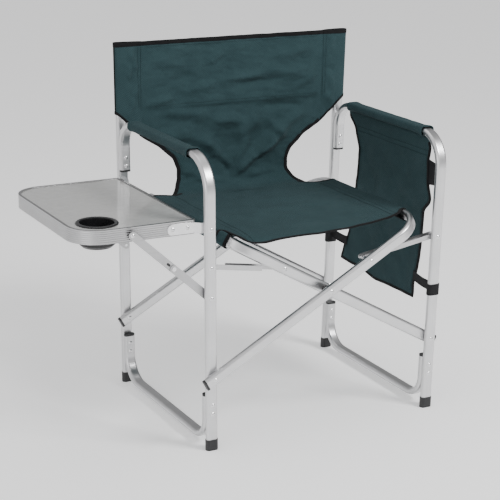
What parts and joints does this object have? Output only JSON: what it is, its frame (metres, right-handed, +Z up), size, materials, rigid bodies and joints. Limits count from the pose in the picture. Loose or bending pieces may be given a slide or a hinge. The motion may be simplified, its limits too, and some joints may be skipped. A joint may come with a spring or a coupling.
{
  "type": "folding camp chair",
  "caption": "Folding director's camp chair with fabric seat and back on a crossed aluminium frame, a fold-down side table with a cup holder, and a hanging side pouch.",
  "frame": {"origin": "centre of the footprint at floor level, chair open", "axes": "+X across the chair, away from the side table; +Y towards the backrest; +Z up"},
  "size_m": [0.8616, 0.488, 0.8001],
  "materials": {
    "frame_aluminium": "satin",
    "table_aluminium": "satin",
    "rivet_steel": "satin",
    "spacer_plastic": "matte",
    "black_plastic": "matte",
    "teal_fabric": "matte",
    "black_webbing": "matte",
    "table_laminate": "gloss",
    "cup_plastic": "satin",
    "strut_metal": "satin"
  },
  "bodies": {
    "left_frame": {"left_leg_and_arm_tube": "frame_aluminium", "left_rear_post": "frame_aluminium", "left_ground_brace": "frame_aluminium", "left_foot_caps": "black_plastic", "left_tube_plugs": "black_plastic", "left_frame_rivets": "rivet_steel", "left_arm_sleeve": "teal_fabric", "back_sleeve_left": "teal_fabric", "left_scissor_pins": "rivet_steel", "left_scissor_washers": "spacer_plastic", "left_link_pins": "rivet_steel", "back_panel": "teal_fabric", "table_hinge_pins": "rivet_steel", "strut_leg_pins": "rivet_steel", "strut_leg_spacers": "spacer_plastic"},
    "cross_a": {"cross_frame_a_tube": "frame_aluminium", "cross_frame_a_plugs": "black_plastic", "cross_frame_a_link_rivets": "rivet_steel", "cross_pins": "rivet_steel", "cross_spacers": "spacer_plastic", "seat_sleeve_right": "teal_fabric"},
    "cross_b": {"cross_frame_b_tube": "frame_aluminium", "cross_frame_b_plugs": "black_plastic", "cross_frame_b_link_rivets": "rivet_steel", "seat_sleeve_left": "teal_fabric"},
    "right_frame": {"right_leg_and_arm_tube": "frame_aluminium", "right_rear_post": "frame_aluminium", "right_ground_brace": "frame_aluminium", "right_foot_caps": "black_plastic", "right_tube_plugs": "black_plastic", "right_frame_rivets": "rivet_steel", "right_arm_sleeve": "teal_fabric", "back_sleeve_right": "teal_fabric", "right_scissor_pins": "rivet_steel", "right_scissor_washers": "spacer_plastic", "right_link_pins": "rivet_steel", "pouch_panel": "teal_fabric", "pouch_pockets": "teal_fabric", "pouch_straps": "black_webbing"},
    "left_links": {"link_front_left": "frame_aluminium", "link_rear_left": "frame_aluminium", "left_link_studs": "rivet_steel"},
    "right_links": {"link_front_right": "frame_aluminium", "link_rear_right": "frame_aluminium", "right_link_studs": "rivet_steel"},
    "seat_left": {"seat_panel_left": "teal_fabric"},
    "seat_right": {"seat_panel_right": "teal_fabric"},
    "table": {"table_rim": "table_aluminium", "table_panel": "table_laminate", "cup_holder": "cup_plastic", "table_hinge_plates": "frame_aluminium", "table_rivets": "rivet_steel", "strut_table_pins": "rivet_steel", "strut_table_spacers": "spacer_plastic"},
    "strut_lower": {"strut_lower_front": "strut_metal", "strut_lower_rear": "strut_metal", "knee_rivets": "rivet_steel"},
    "strut_upper": {"strut_upper_front": "strut_metal", "strut_upper_rear": "strut_metal"}
  },
  "joints": [
    {"name": "fold", "type": "hinge", "parent": "left_frame", "child": "cross_a", "pos_m": [-0.14788, 0, 0.1634], "axis": [0, -1, 0], "range_deg": [0, 44.67], "deforming": ["back_panel"]},
    {"name": "cross", "type": "hinge", "parent": "cross_a", "child": "cross_b", "pos_m": [0.12625, 0, 0.3174], "axis": [0, -1, 0], "range_deg": [-89.4, 0]},
    {"name": "right_fold", "type": "hinge", "parent": "cross_b", "child": "right_frame", "pos_m": [0.40038, 0, 0.1634], "axis": [0, -1, 0], "range_deg": [0, 44.7]},
    {"name": "left_link", "type": "hinge", "parent": "left_frame", "child": "left_links", "pos_m": [-0.15199, 0, 0.4009], "axis": [0, -1, 0], "range_deg": [0, 79.9]},
    {"name": "right_link", "type": "hinge", "parent": "right_frame", "child": "right_links", "pos_m": [0.40449, 0, 0.4009], "axis": [0, -1, 0], "range_deg": [-79.9, 0]},
    {"name": "seat_right", "type": "hinge", "parent": "cross_a", "child": "seat_right", "pos_m": [0.3523, 0, 0.44439], "axis": [0, -1, 0], "range_deg": [0, 26.95], "deforming": ["seat_panel_right"]},
    {"name": "seat_left", "type": "hinge", "parent": "cross_b", "child": "seat_left", "pos_m": [-0.0998, 0, 0.44439], "axis": [0, -1, 0], "range_deg": [-26.95, 0], "deforming": ["seat_panel_left"]},
    {"name": "table_fold", "type": "hinge", "parent": "left_frame", "child": "table", "pos_m": [-0.1534, 0, 0.4825], "axis": [0, -1, 0], "range_deg": [0, 90]},
    {"name": "strut_lower", "type": "hinge", "parent": "left_frame", "child": "strut_lower", "pos_m": [-0.15086, 0, 0.336], "axis": [0, -1, 0], "range_deg": [-38.4, 0]},
    {"name": "strut_upper", "type": "hinge", "parent": "table", "child": "strut_upper", "pos_m": [-0.31675, 0, 0.485], "axis": [0, -1, 0], "range_deg": [0, 47.9]}
  ],
  "couplings": [
    {"joint": "cross", "follows": "fold", "ratio": -2},
    {"joint": "right_fold", "follows": "fold", "ratio": 1},
    {"joint": "left_link", "follows": "fold", "ratio": 1.7877},
    {"joint": "right_link", "follows": "fold", "ratio": -1.7877},
    {"joint": "seat_right", "follows": "fold", "ratio": 0.6021},
    {"joint": "seat_left", "follows": "fold", "ratio": -0.6021},
    {"joint": "strut_lower", "follows": "table_fold", "ratio": -0.4263},
    {"joint": "strut_upper", "follows": "table_fold", "ratio": 0.5321}
  ]
}
